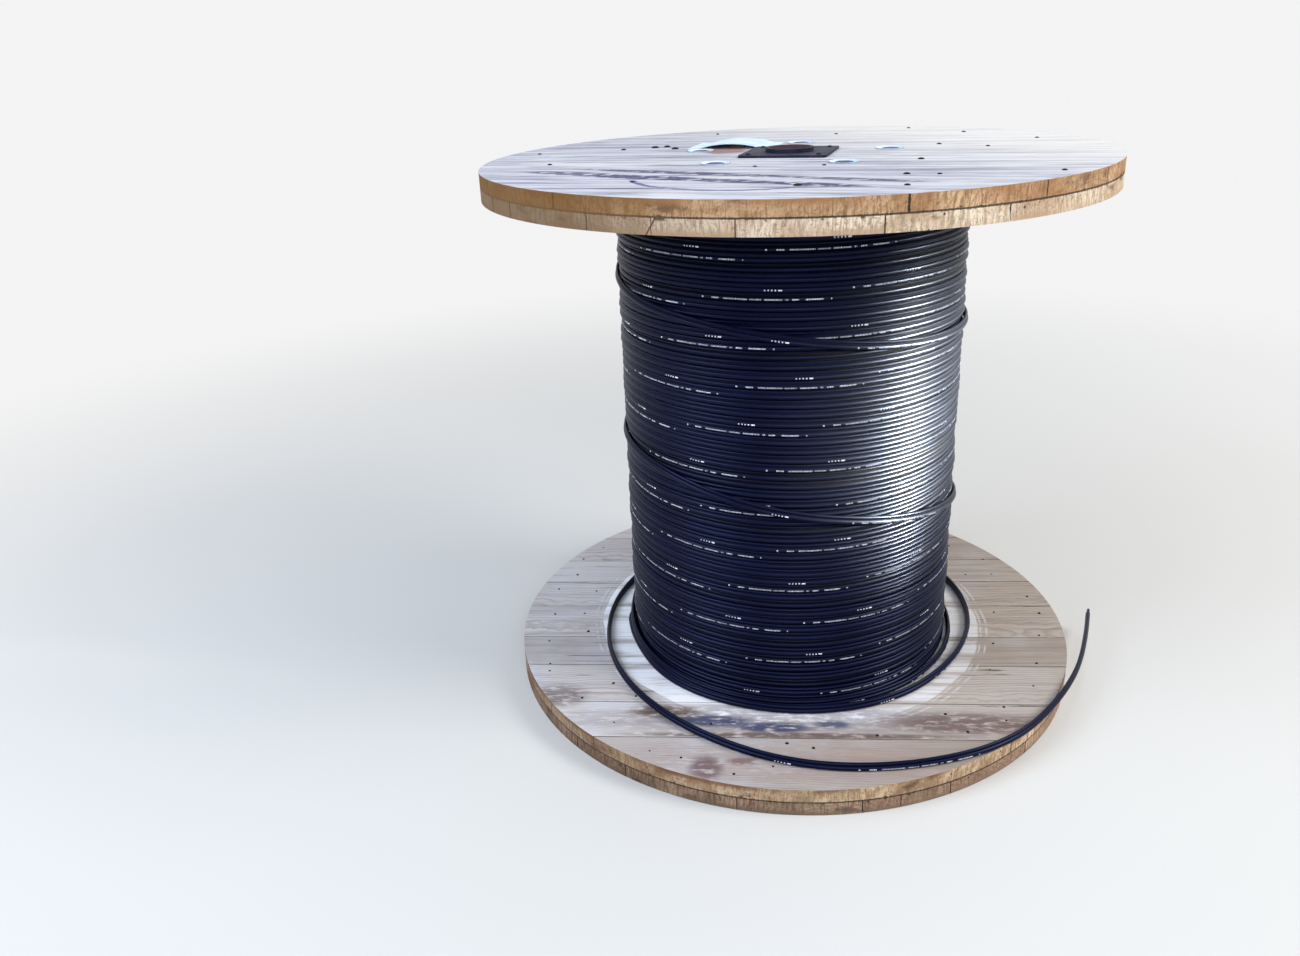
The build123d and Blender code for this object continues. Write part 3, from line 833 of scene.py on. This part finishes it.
# Upper flange, inner layer: eight boards clamped on the barrel, pale and dry at the rim. One
# joint isn't sawn square and shows as a slanting crack at the front.
drum_top = 0.900
top_turn = radians(-14)
top_inner_joints = [-0.742, -0.642, -0.346, -0.156, 0.06, 0.404, 0.684]
slant_joint = -0.156
slant = 0.62
slant_height = 0.86625
slant_half_width = 0.0012
pale_rim = {
    "pale": (0.90, 0.78, 0.62), "dark": (0.62, 0.48, 0.35), "late": (0.38, 0.27, 0.17),
    "stain": (0.18, 0.11, 0.07), "edge": (0.46, 0.31, 0.20),
}
straight_joints = [-share for share in reversed(top_inner_joints) if share != slant_joint]
wood = board_wood(
    "upper_inner_boards", turn=top_turn + radians(90), joints=straight_joints,
    low=drum_top - 2 * board_thickness, seam=drum_top - board_thickness,
    face=brown_face, rim=pale_rim, seed=31.0)
slant_across = slant * slant_height - slant_joint * flange_radius
slant_place = wood.math("MULTIPLY_ADD", wood.height, -slant, slant_across)
slant_crack = wood.math("COMPARE", wood.across, slant_place, slant_half_width)
wood.rim_colour = wood.mix(wood.math("MULTIPLY", slant_crack, 0.9), wood.rim_colour, gap_dark)
darken_rim_left(wood, (0.145, 0.084, 0.038), 0.90)
finish_boards(wood, "top_inner_board", len(top_inner_joints) + 1)

# Upper flange, outer layer: nine boards nailed across the inner ones. Their top is bleached to a
# bluish white with mauve streaks; at the back right a painted glare of sunlight makes it paler and warmer.
top_outer_joints = [-0.89, -0.64, -0.38, -0.174, 0.054, 0.306, 0.53, 0.75]
white_face = {
    "pale": (0.57, 0.585, 0.64), "dark": (0.49, 0.50, 0.56), "late": (0.36, 0.34, 0.41), "rings": 0.42,
    "weather": (0.67, 0.68, 0.72), "streak": (0.25, 0.24, 0.34), "crack": (0.065, 0.06, 0.11),
    "streaks": 0.85, "cracks": 0.55,
}
warm_rim = {
    "pale": (0.68, 0.46, 0.28), "dark": (0.46, 0.285, 0.15), "late": (0.26, 0.14, 0.065),
    "stain": (0.13, 0.075, 0.045), "edge": (0.33, 0.16, 0.065),
}
wood = board_wood(
    "upper_outer_boards", turn=top_turn, joints=top_outer_joints,
    low=drum_top - board_thickness, seam=drum_top - board_thickness,
    face=white_face, rim=warm_rim, seed=41.0)
darken_rim_left(wood, (0.145, 0.066, 0.014), 0.90)
# Painted light: a glare of sunlight, painted as a paler, warmer tone towards the back right
to_back_right = wood.math("MULTIPLY_ADD", wood.across, 0.75, wood.math("MULTIPLY", wood.along, 0.62))
painted_glare = wood.partly(to_back_right, -0.10, 0.40, 0.62)
top_face = wood.mix(painted_glare, wood.face_colour, (0.80, 0.785, 0.745))

# Faded dark smears lie on the front boards, in two rows at a slant to the boards, as (middle,
# half length, half width, strength)
smears = [
    ((-0.060, -0.327), 0.150, 0.024, 0.95),
    ((0.070, -0.327), 0.085, 0.021, 0.95),
    ((0.190, -0.328), 0.085, 0.019, 0.95),
    ((-0.195, -0.318), 0.100, 0.021, 0.90),
    ((-0.030, -0.268), 0.230, 0.017, 0.90),
    ((0.210, -0.268), 0.130, 0.015, 0.80),
]
row_turn = top_turn - radians(15)
blot_turn = top_turn + radians(24)
row_along, row_across, _ = wood.split(wood.turned(wood.drum_place, row_turn))
blots = wood.noise(wood.turned(wood.drum_place, blot_turn, (34.0, 95.0, 1.0)), 1.0, 3.0, 0.6)
smear_share = 0.0
for middle, length, width, strength in smears:
    soft = wood.fades(oval_reach(wood, row_along, row_across, middle, length, width), 0.6, 1.1)
    smear_share = wood.math("MAXIMUM", smear_share, wood.math("MULTIPLY", soft, strength))
broken = wood.math("MULTIPLY", smear_share, wood.between(blots, 0.41, 0.47))
top_face = wood.mix(broken, top_face, (0.050, 0.050, 0.125))

# A thin bent line, part of a round, lies in front of the rows and fades to the right
arc_middle = (-0.010, -0.262)
arc_radius = 0.162
arc_line_half_width = 0.0048
arc_reach = oval_reach(wood, wood.along, wood.across, arc_middle, arc_radius, arc_radius)
arc_line = wood.math("COMPARE", arc_reach, 1.0, arc_line_half_width / arc_radius)
not_right = wood.fades(wood.along, 0.075, 0.120)
in_front = wood.between(wood.math("MULTIPLY", wood.across, -1.0), 0.32, 0.34)
bend = wood.math("MULTIPLY", wood.math("MULTIPLY", arc_line, not_right), in_front)
bend_share = wood.math("MULTIPLY", bend, wood.partly(blots, 0.30, 0.52, 0.95))
top_face = wood.mix(bend_share, top_face, (0.11, 0.11, 0.24))

# Under the arched cover the wood never weathered and is still reddish brown
patch_middle = (-0.106, 0.072)
patch_length, patch_width = 1 / 22.0, 1 / 18.0
top_x, top_y, _ = wood.split(wood.drum_place)
patch_reach = oval_reach(wood, top_x, top_y, patch_middle, patch_length, patch_width)
patch_edge = wood.math("MULTIPLY_ADD", blots, 0.9, patch_reach)
patch_share = wood.math("MULTIPLY", wood.fades(patch_edge, 1.1, 1.5), 0.85)
wood.face_colour = wood.mix(patch_share, top_face, (0.25, 0.14, 0.125))
finish_boards(wood, "top_outer_board", len(top_outer_joints) + 1)

# Nails: round heads hammered into the upper face of each flange, rusted dark. On the lower one
# they stand in two uneven rings, and on the upper one where boards cross. Four more hold the
# upper spindle plate.
head_height_share = 0.45
nail_lift = 0.0002
nail_rings = ((0.464, 38), (0.392, 22))
uneven = 0.4
inwards, outwards = -0.022, 0.014
smallest_head, largest_head = 0.0015, 0.0030
nail_places = []
random.seed(17)
for ring_radius, nail_count in nail_rings:
    for k in range(nail_count):
        angle = radians(360 * (k + random.uniform(-uneven, uneven)) / nail_count)
        reach = ring_radius + random.uniform(inwards, outwards)
        size = random.uniform(smallest_head, largest_head)
        nail_places.append((reach * cos(angle), reach * sin(angle), flange_top, size))

# Nails of the upper flange as (x, y, radius of the head)
upper_nails = [
    (0.249, 0.061, 0.0042), (0.185, -0.143, 0.0050), (0.138, -0.309, 0.0050), (0.179, -0.320, 0.0035),
    (0.122, -0.415, 0.0042), (0.339, -0.321, 0.0040), (0.104, 0.308, 0.0036), (0.315, 0.004, 0.0036),
    (-0.284, 0.146, 0.0046), (-0.384, -0.054, 0.0040), (-0.011, -0.387, 0.0060), (-0.230, -0.300, 0.0035),
    (-0.120, 0.390, 0.0036), (0.330, 0.260, 0.0040), (0.420, 0.110, 0.0036), (-0.430, 0.120, 0.0036),
    (-0.229, 0.162, 0.0070), (-0.208, 0.172, 0.0060), (-0.192, 0.132, 0.0065), (0.040, -0.180, 0.0032),
    (-0.060, -0.170, 0.0036), (0.250, 0.380, 0.0036),
]
nail_places += [(x, y, drum_top, size) for x, y, size in upper_nails]
plate_top = 0.904
plate_nail_off = 0.056
plate_nail_head = 0.0045
for along_sign in (-1, 1):
    for across_sign in (-1, 1):
        corner = Vector((along_sign * plate_nail_off, across_sign * plate_nail_off, plate_top))
        corner.rotate(Matrix.Rotation(top_turn, 3, "Z"))
        nail_places.append((*corner, plate_nail_head))
bpy.ops.object.select_all(action="DESELECT")
bpy.ops.mesh.primitive_uv_sphere_add(segments=8, ring_count=6, radius=1.0)
nail_pattern = bpy.context.object
bpy.ops.object.mode_set(mode="EDIT")
bpy.ops.mesh.select_all(action="SELECT")
bpy.ops.mesh.bisect(plane_co=(0, 0, -0.5), plane_no=(0, 0, 1), clear_inner=True, use_fill=True)
bpy.ops.object.mode_set(mode="OBJECT")
nails = []
for x, y, z, size in nail_places:
    nail = nail_pattern.copy()
    nail.data = nail_pattern.data.copy()
    bpy.context.scene.collection.objects.link(nail)
    head_shape = Matrix.Diagonal((size, size, size * head_height_share, 1))
    nail.data.transform(Matrix.Translation((x, y, z + nail_lift)) @ head_shape)
    nails.append(nail)
bpy.data.objects.remove(nail_pattern)
bpy.ops.object.select_all(action="DESELECT")
for nail in nails:
    nail.select_set(True)
bpy.context.view_layer.objects.active = nails[0]
bpy.ops.object.join()
flange_nails = bpy.context.object
flange_nails.name = "flange_nails"
nail_rust = Finish("nail_rust")
nail_rust.surface.inputs["Specular IOR Level"].default_value = 0.15
nail_rust.paint((0.014, 0.009, 0.008, 1), roughness=0.75)
flange_nails.data.materials.append(nail_rust.material)
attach(flange_nails, "root")


# Tie bolts, nuts and washers: five steel bolts clamp both flanges on the staves. Bolts and nuts
# are dark and rusty, and the dished washers under them are galvanised.
def steel(name, clean, dull, rust, rust_share, roughness, scale, bore=0.0):
    """Bare or galvanised steel with blotches and some rust, and more of it inside a bore."""
    metal = Finish(name)
    metal.surface.inputs["Metallic"].default_value = 0.85
    blotches = metal.noise(metal.place(), scale, 4.0, 0.6)
    spots = metal.noise(metal.turned(metal.place(), 0, (1, 1, 1), (3, 5, 7)), scale * 2.2, 5.0, 0.65)
    colour = metal.mix(metal.between(blotches, 0.35, 0.7), clean, dull)
    colour = metal.mix(metal.between(spots, 1 - rust_share, 1 - rust_share + 0.12), colour, rust)
    if bore:
        x, y, _ = metal.split(metal.place())
        in_bore = metal.math("LESS_THAN", metal.length(metal.joined(x, y, 0.0)), bore)
        colour = metal.mix(metal.math("MULTIPLY", in_bore, 0.85), colour, (0.10, 0.055, 0.065))
    metal.paint(colour, metal.math("MULTIPLY_ADD", blotches, 0.3, roughness))
    metal.relief(spots, depth=0.0003, strength=0.4)
    return metal


bolt_steel = steel(
    "bolt_steel", clean=(0.16, 0.15, 0.15), dull=(0.09, 0.08, 0.08), rust=(0.14, 0.06, 0.03),
    rust_share=0.5, roughness=0.4, scale=60.0)
galvanised = steel(
    "galvanised_steel", clean=(0.62, 0.75, 0.92), dull=(0.50, 0.61, 0.76), rust=(0.35, 0.25, 0.18),
    rust_share=0.26, roughness=0.42, scale=40.0)
galvanised.surface.inputs["Metallic"].default_value = 0.25
bolt_count = 5
for number in range(1, bolt_count + 1):
    wear(f"tie_bolt_{number}", bolt_steel)
wear("tie_bolt_nuts", bolt_steel)
wear("cup_washers", galvanised)

# Spindle plates: dark rolled steel with a tube welded in, rusty inside the bore. One lies on
# each flange, over the hole for the spindle.
bore_radius = 0.0345
plate_steel = steel(
    "plate_steel", clean=(0.018, 0.020, 0.046), dull=(0.008, 0.009, 0.022), rust=(0.12, 0.065, 0.055),
    rust_share=0.40, roughness=0.40, scale=35.0, bore=bore_radius)
plate_steel.surface.inputs["Specular IOR Level"].default_value = 0.12
plate_steel.surface.inputs["Metallic"].default_value = 0.1
wear("spindle_plate_top", plate_steel)
wear("spindle_plate_bottom", plate_steel)

# Cover of the inner cable end: an offcut of galvanised sheet, laid over the place where the end
# comes through the flange and sprung up in an arch.
wear("cable_end_cover", galvanised)
